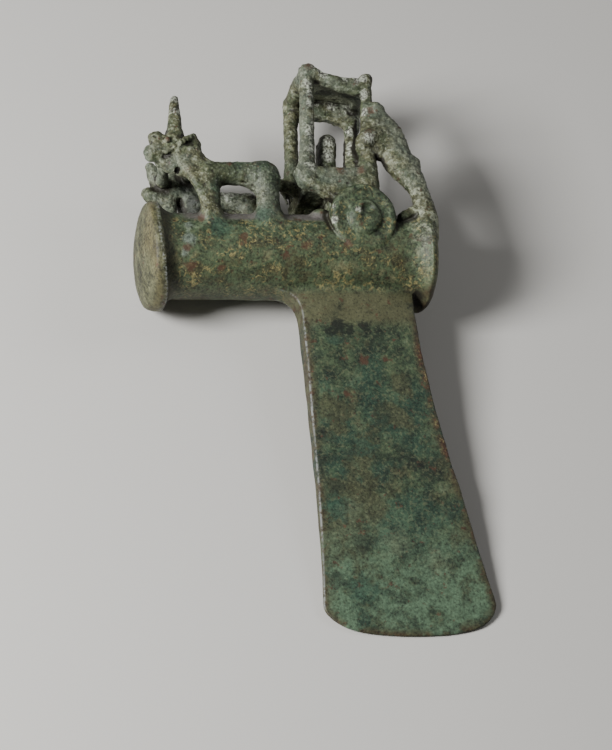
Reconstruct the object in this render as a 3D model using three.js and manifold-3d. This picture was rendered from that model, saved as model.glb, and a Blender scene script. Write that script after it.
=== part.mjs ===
// A cast bronze axe head: a socket with flared ends, a flaring blade below it, and on the
// socket's back a pair of bulls drawing a two-wheeled chariot with its riders.
// Millimetres. The casting is drawn in its own frame: X runs along the socket with the closed
// end at -X, +Y goes from the socket to the chariot, and +Z faces the side that shows when the
// axe head lies down. The last group turns it about X until the flanges and the cutting edge
// touch Z = 0, with the origin below the middle of its box.
import * as THREE from 'three';
import { mergeVertices } from 'three/addons/utils/BufferGeometryUtils.js';
import Module from 'manifold-3d';

const wasm = await Module();
wasm.setup();

// ---- socket
const SOCKET_RADIUS = 14;
const BORE_RADIUS = 10;
const BORE_END_X = -39;
const FLANGE_RADIUS = 18;
const CAP_APEX_X = -50;
const CAP_EDGE_X = -47.3;
const CAP_RIDGE_X = -43;
const CAP_FLARE_END_X = -39.2;
const MOUTH_X = 46.5;
const MOUTH_FACE_RADIUS = 15.4;
const MOUTH_RIDGE_X = 44;
const MOUTH_FLARE_END_X = 36;
const CAP_WEAR_SHIFT = 3.2; // how far wear on the shown side pushes the cap's ridge back
const CAP_WEAR_SHRINK = 0.4; // share of the flange's height worn away on that side
const SOCKET_SEGMENTS = 36;

// ---- blade
const BLADE_TOP_Y = -7;
const BLADE_EDGE_Y = -134.3;
const BLADE_CORNER_Y = -124.5;
const BLADE_EDGE_CENTRE = 0.56; // where along the edge it reaches lowest, 0 left to 1 right
const BLADE_ROOT_THICKNESS = 9.2;
const BLADE_EDGE_THICKNESS = 0.7;
const BLADE_TAPER_POWER = 1.25;
const BLADE_SIDE_SHARE = 0.8; // thickness at the blade's sides against its middle
const BLADE_ROWS = 16;
const BLADE_COLUMNS = 8;
const BLADE_LEFT = [[-7, -10], [-13, -6.5], [-15.4, -2.2], [-19, 0.4], [-26, 0.9], [-44, 0.3],
  [-66, -0.7], [-91, -1.9], [-116, -3.9], [-126, -5]];
const BLADE_RIGHT = [[-7, 40.5], [-20, 39.3], [-32, 39.3], [-45, 40.1], [-70, 43], [-87, 45.7],
  [-107, 48.7], [-126, 52]];

// ---- chariot
const CAB_LEAN = 0.125; // how far a post leans back for each millimetre it rises
const FLOOR_TOP_Y = 25.5;
const FLOOR_THICKNESS = 4.5;
const POST_RADIUS = 2.4;
const CAB_HALF_WIDTH = 12;
const WHEEL_X = 22.5;
const WHEEL_Y = 6.1;
const WHEEL_FACE_Z = 16.5; // at the wheel's middle; its top stands further out
const WHEEL_SPLAY = 15; // degrees
const WHEEL_RADIUS = 11.3;
const WHEEL_SQUASH = 0.97; // the wheels are a little taller than they are long
const WHEEL_THICKNESS = 6;
const NEAR_HUB_HEIGHT = 3;
const FAR_HUB_HEIGHT = 0.7;
const HUB_RADIUS = 5.2;

// ---- bulls
const BULL_Z = 11.6;
const POLE_RADIUS = 2;
const YOKE_RADIUS = 2.2;

// ---- shape helpers

const DOME_ANGLE = Math.PI / 3.4; // how far round a limb's rounded end its last ring sits

// A closed geometry as a manifold solid.
function solid(geometry) {
  const bare = geometry.clone();
  bare.deleteAttribute('normal');
  bare.deleteAttribute('uv');
  const merged = mergeVertices(bare, 1e-4);
  const mesh = new wasm.Mesh({
    numProp: 3,
    vertProperties: new Float32Array(merged.attributes.position.array),
    triVerts: new Uint32Array(merged.index.array),
  });
  return new wasm.Manifold(mesh);
}

// A solid back as a geometry.
function geometryOf(manifold) {
  const mesh = manifold.getMesh();
  const geometry = new THREE.BufferGeometry();
  geometry.setAttribute('position', new THREE.BufferAttribute(mesh.vertProperties, 3));
  geometry.setIndex(new THREE.BufferAttribute(mesh.triVerts, 1));
  return geometry;
}

// All the solids in one, filled where they shut in a small hollow between them.
function joined(solids) {
  const whole = solids.reduce((sum, piece) => sum.add(piece));
  return whole.decompose().reduce((a, b) => (a.volume() > b.volume() ? a : b));
}

// The value at y of a smooth line through [y, value] pairs.
function valueAt(pairs, y) {
  const line = new THREE.CatmullRomCurve3(
    pairs.map(([at, value]) => new THREE.Vector3(value, at, 0)), false, 'centripetal');
  let low = 0;
  let high = 1;
  for (let step = 0; step < 24; step += 1) {
    const middle = (low + high) / 2;
    if (line.getPoint(middle).y > y) low = middle;
    else high = middle;
  }
  return line.getPoint(low).x;
}

// Closed rings of points, joined into one skin, with the first and last ring filled by fans.
function skinned(rings) {
  const count = rings[0].length;
  const positions = [];
  const indices = [];
  rings.forEach((ring) => ring.forEach((point) => positions.push(point.x, point.y, point.z)));
  for (let row = 0; row + 1 < rings.length; row += 1) {
    for (let i = 0; i < count; i += 1) {
      const next = (i + 1) % count;
      const a = row * count + i;
      const b = row * count + next;
      indices.push(a, b, a + count, b, b + count, a + count);
    }
  }
  const last = (rings.length - 1) * count;
  const centreOf = (ring) => ring.reduce((sum, p) => sum.add(p), new THREE.Vector3())
    .divideScalar(count);
  const first = positions.length / 3;
  positions.push(...centreOf(rings[0]), ...centreOf(rings[rings.length - 1]));
  for (let i = 0; i < count; i += 1) {
    const next = (i + 1) % count;
    indices.push(first, next, i);
    indices.push(first + 1, last + i, last + next);
  }
  const geometry = new THREE.BufferGeometry();
  geometry.setAttribute('position', new THREE.Float32BufferAttribute(positions, 3));
  geometry.setIndex(indices);
  return geometry;
}

// A rounded limb through [x, y, z, radius] stations, with domed ends.
// depth stretches its section along the axis called across.
function limb(stations, { sides = 8, steps = 2, depth = 1, across = 'z' } = {}) {
  const curve = new THREE.CatmullRomCurve3(
    stations.map(([x, y, z]) => new THREE.Vector3(x, y, z)), false, 'centripetal');
  const reference = across === 'z' ? new THREE.Vector3(0, 0, 1) : new THREE.Vector3(1, 0, 0);
  const spans = stations.length - 1;
  const rings = [];
  const ring = (centre, tangent, radius) => {
    const side = reference.clone().addScaledVector(tangent, -reference.dot(tangent)).normalize();
    const rise = new THREE.Vector3().crossVectors(tangent, side);
    const points = [];
    for (let i = 0; i < sides; i += 1) {
      const angle = (2 * Math.PI * (i + 0.5)) / sides;
      points.push(centre.clone()
        .addScaledVector(side, radius * depth * Math.cos(angle))
        .addScaledVector(rise, radius * Math.sin(angle)));
    }
    return points;
  };
  const dome = (at, sign) => {
    const centre = curve.getPoint(at);
    const tangent = curve.getTangent(at);
    const radius = stations[at === 0 ? 0 : spans][3];
    const out = centre.clone().addScaledVector(tangent, sign * radius * Math.sin(DOME_ANGLE));
    return ring(out, tangent, radius * Math.cos(DOME_ANGLE));
  };
  rings.push(dome(0, -1));
  for (let step = 0; step <= spans * steps; step += 1) {
    const at = step / (spans * steps);
    const index = Math.min(Math.floor(at * spans), spans - 1);
    const share = at * spans - index;
    const eased = share * share * (3 - 2 * share);
    const radius = THREE.MathUtils.lerp(stations[index][3], stations[index + 1][3], eased);
    rings.push(ring(curve.getPoint(at), curve.getTangent(at), radius));
  }
  rings.push(dome(1, 1));
  return solid(skinned(rings));
}

// An egg-shaped lump.
function lump([x, y, z], [rx, ry, rz], detail = [8, 5]) {
  const geometry = new THREE.SphereGeometry(1, ...detail);
  geometry.scale(rx, ry, rz);
  geometry.translate(x, y, z);
  return solid(geometry);
}

// A flat outline in X and Y, given thickness from z0 to z1.
function plate(outline, z0, z1) {
  const shape = new THREE.Shape(outline.map(([x, y]) => new THREE.Vector2(x, y)));
  const geometry = new THREE.ExtrudeGeometry(shape, { depth: z1 - z0, bevelEnabled: false });
  geometry.translate(0, 0, z0);
  return solid(geometry);
}

// A point on one of the cab's leaning posts, above the floor.
function leaning(baseX, y, z, radius = POST_RADIUS) {
  return [baseX + CAB_LEAN * (y - FLOOR_TOP_Y), y, z, radius];
}

// ---- socket: domed closed end, flared flanges, straight tube, blind bore open at +X

function socketProfile() {
  const path = new THREE.Path();
  path.moveTo(0, CAP_APEX_X);
  path.quadraticCurveTo(FLANGE_RADIUS * 0.62, CAP_APEX_X, FLANGE_RADIUS - 1.2, CAP_EDGE_X);
  path.quadraticCurveTo(FLANGE_RADIUS, CAP_EDGE_X + 1, FLANGE_RADIUS, CAP_RIDGE_X);
  path.quadraticCurveTo(SOCKET_RADIUS + 0.4, CAP_RIDGE_X + 1, SOCKET_RADIUS, CAP_FLARE_END_X);
  path.lineTo(SOCKET_RADIUS, MOUTH_FLARE_END_X);
  path.quadraticCurveTo(SOCKET_RADIUS + 0.5, MOUTH_RIDGE_X - 2.5, FLANGE_RADIUS, MOUTH_RIDGE_X);
  path.quadraticCurveTo(FLANGE_RADIUS - 0.3, MOUTH_X - 0.6, MOUTH_FACE_RADIUS, MOUTH_X);
  path.lineTo(BORE_RADIUS, MOUTH_X);
  path.lineTo(BORE_RADIUS, BORE_END_X);
  path.lineTo(0, BORE_END_X);
  return path.getPoints(3);
}

// Wear on the shown side has thinned the cap's ridge and pushed it back.
function wearCap(geometry) {
  const position = geometry.attributes.position;
  for (let i = 0; i < position.count; i += 1) {
    const radius = Math.hypot(position.getY(i), position.getZ(i));
    const inFlare = radius > SOCKET_RADIUS && position.getX(i) < CAP_FLARE_END_X + 1;
    const shown = inFlare ? Math.max(0, position.getZ(i) / radius) ** 2 : 0;
    const rise = (radius - SOCKET_RADIUS) / (FLANGE_RADIUS - SOCKET_RADIUS);
    const behindEdge = THREE.MathUtils.smoothstep(position.getX(i), CAP_EDGE_X, CAP_RIDGE_X);
    const shrink = 1 - (shown * CAP_WEAR_SHRINK * Math.max(0, radius - SOCKET_RADIUS)) / radius;
    position.setX(i, position.getX(i) - CAP_WEAR_SHIFT * shown * rise * behindEdge);
    position.setY(i, position.getY(i) * (inFlare ? shrink : 1));
    position.setZ(i, position.getZ(i) * (inFlare ? shrink : 1));
  }
  return geometry;
}

function socket() {
  const geometry = new THREE.LatheGeometry(socketProfile(), SOCKET_SEGMENTS);
  geometry.rotateZ(-Math.PI / 2);
  return solid(wearCap(geometry));
}

function bore() {
  const outline = [[0, BORE_END_X], [BORE_RADIUS, BORE_END_X], [BORE_RADIUS, MOUTH_X + 1],
    [0, MOUTH_X + 1]];
  const profile = outline.map(([radius, along]) => new THREE.Vector2(radius, along));
  const geometry = new THREE.LatheGeometry(profile, SOCKET_SEGMENTS);
  geometry.rotateZ(-Math.PI / 2);
  return solid(geometry);
}

// ---- blade: rows from the socket down to the curved edge, thinning all the way

// The lowest reach of the blade at a share of its width, with rounded corners.
function edgeY(across) {
  const reach = across < BLADE_EDGE_CENTRE
    ? (BLADE_EDGE_CENTRE - across) / BLADE_EDGE_CENTRE
    : (across - BLADE_EDGE_CENTRE) / (1 - BLADE_EDGE_CENTRE);
  return THREE.MathUtils.lerp(BLADE_EDGE_Y, BLADE_CORNER_Y, 0.45 * reach ** 2 + 0.55 * reach ** 7);
}

function bladePoint(across, down, side) {
  const y = THREE.MathUtils.lerp(BLADE_TOP_Y, edgeY(across), down);
  const left = valueAt(BLADE_LEFT, Math.max(y, BLADE_CORNER_Y));
  const right = valueAt(BLADE_RIGHT, Math.max(y, BLADE_CORNER_Y));
  const middle = 4 * across * (1 - across);
  const fall = (y - BLADE_TOP_Y) / (BLADE_EDGE_Y - BLADE_TOP_Y);
  const taper = Math.max(0, 1 - Math.max(fall, down ** 6) ** BLADE_TAPER_POWER);
  const thickness = BLADE_EDGE_THICKNESS
    + (BLADE_ROOT_THICKNESS - BLADE_EDGE_THICKNESS) * taper
    * THREE.MathUtils.lerp(BLADE_SIDE_SHARE, 1, middle);
  return new THREE.Vector3(THREE.MathUtils.lerp(left, right, across), y, (side * thickness) / 2);
}

function blade() {
  const rings = [];
  for (let row = 0; row <= BLADE_ROWS; row += 1) {
    const down = row / BLADE_ROWS;
    const shown = [];
    const hidden = [];
    for (let column = 0; column <= BLADE_COLUMNS; column += 1) {
      const across = column / BLADE_COLUMNS;
      shown.unshift(bladePoint(across, down, 1));
      hidden.push(bladePoint(across, down, -1));
    }
    rings.push([...shown, ...hidden]);
  }
  return solid(skinned(rings));
}

// ---- chariot

// A disc wheel with a raised hub, leaning out at the top; side is 1 for +Z and -1 for -Z.
function wheel(side, hubHeight) {
  const path = new THREE.Path();
  path.moveTo(0, -WHEEL_THICKNESS);
  path.lineTo(WHEEL_RADIUS - 1, -WHEEL_THICKNESS);
  path.lineTo(WHEEL_RADIUS, -WHEEL_THICKNESS + 1);
  path.lineTo(WHEEL_RADIUS, -1.3);
  path.quadraticCurveTo(WHEEL_RADIUS, 0, WHEEL_RADIUS - 1.6, 0);
  path.lineTo(HUB_RADIUS, 0.1);
  path.quadraticCurveTo(HUB_RADIUS * 0.62, hubHeight * 0.3, HUB_RADIUS * 0.52, hubHeight);
  path.lineTo(0, hubHeight);
  const geometry = new THREE.LatheGeometry(path.getPoints(3), 24);
  geometry.rotateX(Math.PI / 2);
  geometry.scale(WHEEL_SQUASH, 2 - WHEEL_SQUASH, 1);
  geometry.rotateX(THREE.MathUtils.degToRad(WHEEL_SPLAY));
  geometry.translate(0, 0, WHEEL_FACE_Z);
  if (side < 0) geometry.rotateY(Math.PI);
  geometry.translate(WHEEL_X, WHEEL_Y, 0);
  return solid(geometry);
}

function cabFrame() {
  const near = CAB_HALF_WIDTH;
  const far = -CAB_HALF_WIDTH;
  const frontX = 6.8;
  const backX = 28;
  const farBackX = 28.4;
  return [
    // posts, from under the floor up to the top bars
    limb([leaning(frontX, 22, near), leaning(frontX, 45, near), leaning(frontX, 65.2, near, 2.6)]),
    limb([leaning(backX, 19, near, 3.6), leaning(backX, 30, near, 3), leaning(backX, 43, near),
      leaning(backX, 61.6, near)]),
    limb([leaning(frontX + 0.6, 25, far, 1.9), leaning(frontX + 0.6, 38, far),
      leaning(frontX + 0.6, 66.4, far)]),
    limb([leaning(farBackX, 23, far), leaning(farBackX, 42, far, 2),
      leaning(farBackX, 62.4, far, 2.4)]),
    // near and far top bars, sagging between the posts, and the two across
    limb([[12.4, 64.2, near, 2.8], [18.3, 61, near, 2.9], [24, 59.6, near, 2.9],
      [29, 58.8, near, 3.2], [32.2, 60.8, near, 2.4]], { depth: 0.8 }),
    limb([[13, 66, far + 1, 2.9], [21, 67, far + 1.6, 2.8], [35, 65.2, far + 1.6, 2.6]]),
    limb([[12.4, 64.2, near, 2.6], [12.6, 65.6, 0, 2.8], [12.9, 66.2, far, 2.4]], { across: 'x' }),
    limb([[32, 61.2, near, 2.1], [32.6, 62.8, 0, 2], [34.2, 64.8, far, 2.3]], { across: 'x' }),
    // roof skin and the web that hangs under the far bar
    plate([[12.6, 63.4], [22, 61], [33.4, 60.2], [33.4, 61.8], [22, 62.6], [12.6, 65.8]], far, near),
    plate([[11.8, 60], [34.6, 58.8], [35.6, 63], [13, 65]], far - 1.4, far + 1),
  ];
}

function cabFloor() {
  const near = CAB_HALF_WIDTH;
  const bottom = FLOOR_TOP_Y - FLOOR_THICKNESS;
  const board = [[2.4, 25.6], [5.2, 29], [10, 26.8], [24, 26.6], [30, 27], [29.6, 13],
    [16, 13], [12.4, 15.9], [7.8, 18.8], [3.6, 21.6]];
  return [
    plate([[6.4, bottom], [6.2, FLOOR_TOP_Y], [28.6, FLOOR_TOP_Y], [28.4, bottom]], -near, near),
    plate(board, near - 2.6, near + 2.2),
    plate(board.map(([x, y]) => [Math.min(Math.max(x, 6.4), 28), y]), -near - 1.6, -near + 2.6),
    // block that joins the floor to the socket between the wheels
    plate([[14, 10], [15.4, 22], [29, 22], [30, 10]], -9, 9),
  ];
}

// A rider standing in the cab: body, shoulders, head with a small plain nose, and headgear.
function rider([x, z], height, width, lean, capHeight) {
  const headY = FLOOR_TOP_Y + height - 3.4;
  const headX = x + lean * (height - 3.4);
  return [
    limb([[x, FLOOR_TOP_Y - 1, z, width], [x + lean * 6, FLOOR_TOP_Y + 7, z, width],
      [headX - lean * 2, headY - 3, z, width * 0.84]]),
    lump([headX, headY, z], [width * 0.9, 3.4, width * 0.85]),
    lump([headX - width * 0.9, headY - 0.4, z], [0.7, 0.9, 0.5], [6, 4]),
    limb([[headX, headY + 1.6, z, width * 0.62],
      [headX + 0.9, headY + 1.6 + capHeight, z, 0.7]]),
  ];
}

// The worn animal that rears against the near back post; its hind part runs down to the flange.
function rearingAnimal() {
  return [
    limb([[34.6, 47.8, 11.8, 2.9], [37.2, 41, 11.8, 4.4], [37.8, 34, 12, 5.2],
      [40.2, 27, 12.2, 5], [42.8, 21.4, 12.6, 3.9], [44.2, 14, 13.3, 3.4], [45, 7, 14, 3.4],
      [44.6, 0, 14.6, 2.7]], { depth: 0.78 }),
    lump([33.6, 49.2, 12.2], [3, 3.2, 3.1]),
    // forelegs reaching the post, and the haunch
    limb([[36.6, 41, 12.6, 3], [32, 38.2, 13, 3.7], [27.8, 37, 13.6, 3.2]]),
    lump([32.6, 35, 12], [3.6, 4.2, 3.1], [6, 4]),
    lump([43, 28.6, 12], [3.2, 3.3, 3.3], [6, 4]),
  ];
}

// ---- bulls

const NEAR_BULL = {
  body: [[-26, 24.2, 11.4, 4.2], [-17, 24.4, 11.6, 3.9], [-8.6, 23.8, 11.6, 4.7]],
  hindLeg: [[-7.7, 22.4, 11.6, 4.8], [-7.6, 15, 11.4, 4.2], [-8, 7.5, 11, 4.2]],
  foreLeg: [[-28.2, 22.8, 11.8, 4.8], [-27.4, 15.6, 11.8, 3.8], [-27, 7.8, 11.2, 3.4]],
  neck: [[-28.4, 26, 11.6, 4.2], [-32, 30, 11.4, 4.9], [-36.6, 31.8, 11.2, 4.8]],
  chest: [[-28, 26.4, 11.6, 4.2], [-33.4, 26.4, 11.4, 3.6], [-39, 28, 10.8, 3]],
  head: [[-36.4, 34.6, 11.6, 4.2], [-40.4, 33.4, 11.6, 3.6], [-44.5, 31.5, 11.6, 2.8]],
  brow: [[-42.4, 37, 11.6], [2.8, 2.9, 2.7]],
  eye: [[-39.7, 34.8, 14.9], [1.3, 1.3, 1]],
  horn: [[-36.2, 38, 11.6, 3], [-35.5, 44.6, 11.6, 2.1], [-34.7, 52.4, 11.6, 1.2]],
  crest: [[-31, 31.6, 11.6, 2.9], [-30.6, 35, 11.6, 2.6]],
  rein: [[-40.6, 30.4, 14.6, 1.1], [-35.6, 33.6, 15.4, 1.2], [-30.4, 36.8, 14, 1.2]],
};

const FAR_BULL = {
  body: [[-25, 27.2, -11.6, 3.8], [-16, 27.4, -11.6, 3.3], [-7.6, 26, -11.6, 4.3]],
  hindLeg: [[-7.2, 24, -11.6, 4.3], [-7.2, 15, -11.4, 3.7], [-7.6, 7.5, -11, 4]],
  foreLeg: [[-25.4, 25, -11.6, 4.1], [-25.4, 16, -11.4, 3.1], [-25.6, 8, -11, 3.4]],
  neck: [[-25, 28, -11.6, 4.4], [-30, 32.2, -11.4, 4.3], [-33.6, 33.6, -11.2, 3.8]],
  chest: [[-33, 30, -11.4, 3.2], [-34.8, 22, -10.8, 2.7], [-34, 9, -9.8, 3]],
  head: [[-33.2, 32.8, -11.6, 3.4], [-36.4, 30.6, -11.6, 2.8], [-40.9, 30.1, -11.6, 2.5]],
  brow: [[-33.6, 36.8, -11.6], [2.4, 2.6, 2.4]],
  eye: [[-34.6, 34.4, -14.8], [1.2, 1.2, 0.9]],
  horn: [[-37.2, 32.8, -11.6, 2.4], [-38.2, 36.6, -11.5, 2.3], [-39.3, 40.4, -11.4, 1.7]],
  crest: [[-27, 32.8, -11.6, 2.9], [-26.8, 35.6, -11.6, 2.5]],
  rein: [[-36.6, 31.2, -14.2, 1.1], [-32, 34, -15, 1.2], [-27.6, 36.2, -13.6, 1.2]],
};

function bull(shape) {
  return [
    limb(shape.body, { depth: 1.05 }),
    limb(shape.hindLeg, { depth: 0.85 }),
    limb(shape.foreLeg, { depth: 0.9 }),
    limb(shape.neck, { depth: 0.8 }),
    limb(shape.chest, { depth: 0.85 }),
    limb(shape.head, { depth: 0.85 }),
    lump(...shape.brow, [6, 5]),
    lump(...shape.eye, [6, 4]),
    limb(shape.horn),
    limb(shape.crest, { depth: 1.1 }),
    limb(shape.rein, { sides: 6 }),
  ];
}

// The pole from the cab's floor between the bulls, and the yoke across their necks.
function harness() {
  return [
    limb([[9, 24, -1, 2.4], [2, 28.2, -1.4, POLE_RADIUS], [-12, 29.4, -1.4, POLE_RADIUS],
      [-28, 33.6, -0.6, POLE_RADIUS]]),
    limb([[-30.2, 35, BULL_Z, YOKE_RADIUS], [-28.8, 35.2, 0, YOKE_RADIUS],
      [-26.8, 35.6, -BULL_Z, YOKE_RADIUS]], { across: 'x' }),
  ];
}

// ---- the casting, all one piece

const casting = joined([
  socket(),
  blade(),
  wheel(1, NEAR_HUB_HEIGHT),
  wheel(-1, FAR_HUB_HEIGHT),
  ...cabFrame(),
  ...cabFloor(),
  ...rider([14.8, 7], 17.6, 3.4, 0.1, 0.6),
  ...rider([24.8, 7], 20, 3, 0.08, 5),
  ...rearingAnimal(),
  ...bull(NEAR_BULL),
  ...bull(FAR_BULL),
  ...harness(),
]).subtract(bore());

const bronze = new THREE.MeshStandardMaterial({ color: 0x6f7a66, roughness: 0.75, metalness: 0.3 });
const axeHead = new THREE.Mesh(geometryOf(casting), bronze);
axeHead.name = 'axe_head';

// ---- lying down: flanges and cutting edge on Z = 0

const restRoll = Math.atan2(FLANGE_RADIUS - BLADE_EDGE_THICKNESS / 2, -BLADE_EDGE_Y);
const lying = new THREE.Group();
lying.rotation.x = restRoll;
lying.add(axeHead);
lying.updateMatrixWorld(true);
const box = new THREE.Box3().setFromObject(lying, true);
lying.position.set(-(box.min.x + box.max.x) / 2, -(box.min.y + box.max.y) / 2, -box.min.z);

const part = new THREE.Group();
part.add(lying);

export default part;
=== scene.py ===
import itertools
import math

import bpy
import numpy as np
from mathutils import Matrix, Vector


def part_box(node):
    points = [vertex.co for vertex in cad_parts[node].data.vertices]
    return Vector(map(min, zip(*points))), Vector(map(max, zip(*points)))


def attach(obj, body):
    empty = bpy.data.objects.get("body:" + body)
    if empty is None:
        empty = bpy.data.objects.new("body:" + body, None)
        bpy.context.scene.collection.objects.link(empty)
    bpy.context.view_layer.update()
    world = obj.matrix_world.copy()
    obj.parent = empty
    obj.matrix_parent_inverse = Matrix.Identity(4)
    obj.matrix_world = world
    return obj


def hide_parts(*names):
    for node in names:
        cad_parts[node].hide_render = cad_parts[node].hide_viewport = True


# A cast bronze axe head with a bull chariot on its socket, lying on a pale floor.
# The casting is one signed distance field in millimetres, in the frame it was drawn in:
# X runs along the socket with the closed end at -X, +Y goes from the socket to the chariot
# and +Z faces the camera. The field is skinned, roughened, turned to lie down and thinned out.

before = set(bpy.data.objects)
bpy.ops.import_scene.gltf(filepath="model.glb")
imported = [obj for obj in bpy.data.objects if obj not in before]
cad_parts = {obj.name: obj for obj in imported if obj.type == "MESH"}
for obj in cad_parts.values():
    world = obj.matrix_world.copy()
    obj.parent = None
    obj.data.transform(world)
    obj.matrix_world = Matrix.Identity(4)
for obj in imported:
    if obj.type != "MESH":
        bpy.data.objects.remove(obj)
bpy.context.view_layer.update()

MM = 0.001

# ---- driving dimensions, as in the CAD except for the hubs and the last blade stations
SOCKET_RADIUS = 14
BORE_RADIUS = 10
BORE_END_X = -39
FLANGE_RADIUS = 18
CAP_APEX_X = -50
CAP_EDGE_X = -47.3
CAP_RIDGE_X = -43
CAP_FLARE_END_X = -39.2
CAP_WEAR_SHIFT = 3.2
CAP_WEAR_SHRINK = 0.4
MOUTH_X = 46.5
MOUTH_FACE_RADIUS = 15.4
MOUTH_RIDGE_X = 44
MOUTH_FLARE_END_X = 36
BLADE_TOP_Y = -7
BLADE_EDGE_Y = -134.3
BLADE_CORNER_Y = -124.5
BLADE_EDGE_CENTRE = 0.56
BLADE_ROOT_THICKNESS = 9.2
BLADE_EDGE_THICKNESS = 0.7
BLADE_TAPER_POWER = 1.25
BLADE_SIDE_SHARE = 0.8
BLADE_LEFT = [(-7, -10), (-13, -6.5), (-15.4, -2.2), (-19, 0.4), (-26, 0.9), (-44, 0.3),
              (-66, -0.7), (-91, -1.9), (-116, -3.9), (-134, -6)]
BLADE_RIGHT = [(-7, 40.5), (-20, 39.3), (-32, 39.3), (-45, 40.1), (-70, 43), (-87, 45.7),
               (-107, 48.7), (-134, 53.2)]
CAB_LEAN = 0.125
FLOOR_TOP_Y = 25.5
CAB_HALF_WIDTH = 12
WHEEL_X = 22.5
WHEEL_Y = 6.1
WHEEL_FACE_Z = 16.5
WHEEL_SPLAY = 15
WHEEL_RADIUS = 11.3
HUB_RADIUS = 5.0
NEAR_HUB_HEIGHT = 1.5
FAR_HUB_HEIGHT = 1.2
RIDER_Z = 7
BULL_Z = 11.6

# ---- the field
STEP = 0.33  # between grid points
FAR = 8.0  # the value where no shape has been added yet
FIELD_LOW = (-52, -136.5, -22)
FIELD_HIGH = (54, 71, 24)


class Field:
    """A signed distance on a regular grid, in millimetres. Below zero is metal."""

    def __init__(self, low, high, step):
        self.low = np.array(low, np.float32)
        self.step = step
        count = np.ceil((np.array(high) - np.array(low)) / step).astype(int) + 1
        self.values = np.full(count, FAR, np.float32)

    def window(self, low, high):
        first = np.floor((np.array(low) - self.low) / self.step).astype(int)
        last = np.ceil((np.array(high) - self.low) / self.step).astype(int) + 1
        first = np.clip(first, 0, self.values.shape)
        last = np.clip(last, 0, self.values.shape)
        axes = [self.low[i] + self.step * np.arange(first[i], last[i], dtype=np.float32)
                for i in range(3)]
        return (tuple(slice(a, b) for a, b in zip(first, last)),
                np.meshgrid(*axes, indexing="ij", sparse=True))

    def add(self, shape, blend=1.0):
        low, high, distance = shape
        margin = blend + 3 * self.step
        place, grid = self.window(np.array(low) - margin, np.array(high) + margin)
        self.values[place] = smooth_min(self.values[place], distance(*grid), blend)

    def cut(self, shape, blend=0.6):
        low, high, distance = shape
        margin = blend + 3 * self.step
        place, grid = self.window(np.array(low) - margin, np.array(high) + margin)
        self.values[place] = -smooth_min(-self.values[place], distance(*grid), blend)

    def at(self, points):
        """The field's value at each point, between grid values."""
        spot = (points - self.low) / self.step
        spot = np.clip(spot, 0, np.array(self.values.shape) - 1.001)
        cell = spot.astype(int)
        share = spot - cell
        total = np.zeros(len(points), np.float32)
        for corner in itertools.product((0, 1), repeat=3):
            weight = np.prod(np.where(corner, share, 1 - share), axis=1)
            total += weight * self.values[tuple((cell + corner).T)]
        return total


def smooth_min(a, b, blend):
    share = np.clip(0.5 + 0.5 * (b - a) / blend, 0, 1)
    return b + (a - b) * share - blend * share * (1 - share)


def smooth_max(a, b, blend):
    return -smooth_min(-a, -b, blend)


def smoothstep(low, high, value):
    share = np.clip((value - low) / (high - low), 0, 1)
    return share * share * (3 - 2 * share)


# ---- shapes: each is its lowest corner, its highest corner and its distance

def smooth_line(stations, steps):
    """Stations joined by a smooth line, steps points to each span."""
    stations = np.array(stations, float)
    ends = np.vstack([2 * stations[0] - stations[1], stations, 2 * stations[-1] - stations[-2]])
    points = []
    for p0, p1, p2, p3 in zip(ends, ends[1:], ends[2:], ends[3:]):
        for t in np.arange(steps) / steps:
            points.append(0.5 * (2 * p1 + (p2 - p0) * t + (2 * p0 - 5 * p1 + 4 * p2 - p3) * t ** 2
                                 + (3 * p1 - p0 - 3 * p2 + p3) * t ** 3))
    return np.array(points + [stations[-1]])


def limb(stations, depth=1.0, steps=3):
    """A rounded limb through (x, y, z, radius) stations; depth stretches it along Z."""
    line = smooth_line(stations, steps)
    reach = line[:, 3:] * [1, 1, max(depth, 1)]
    line_z = line[:, 2] / depth

    def distance(x, y, z):
        z = z / depth
        best = FAR * 4
        for i in range(len(line) - 1):
            ax, ay, az, ar = line[i, 0], line[i, 1], line_z[i], line[i, 3]
            ex, ey, ez = line[i + 1, 0] - ax, line[i + 1, 1] - ay, line_z[i + 1] - az
            px, py, pz = x - ax, y - ay, z - az
            along = (px * ex + py * ey + pz * ez) / (ex * ex + ey * ey + ez * ez)
            along = np.clip(along, 0, 1)
            gap = np.sqrt((px - ex * along) ** 2 + (py - ey * along) ** 2
                          + (pz - ez * along) ** 2)
            best = np.minimum(best, gap - (ar + (line[i + 1, 3] - ar) * along))
        return best.astype(np.float32)

    return (line[:, :3] - reach).min(0), (line[:, :3] + reach).max(0), distance


def lump(centre, radii):
    """An egg-shaped lump."""
    centre, radii = np.array(centre, float), np.array(radii, float)

    def distance(x, y, z):
        px, py, pz = x - centre[0], y - centre[1], z - centre[2]
        k0 = np.sqrt((px / radii[0]) ** 2 + (py / radii[1]) ** 2 + (pz / radii[2]) ** 2)
        k1 = np.sqrt((px / radii[0] ** 2) ** 2 + (py / radii[1] ** 2) ** 2
                     + (pz / radii[2] ** 2) ** 2)
        return (k0 * (k0 - 1) / np.maximum(k1, 1e-6)).astype(np.float32)

    return centre - radii, centre + radii, distance


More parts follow.
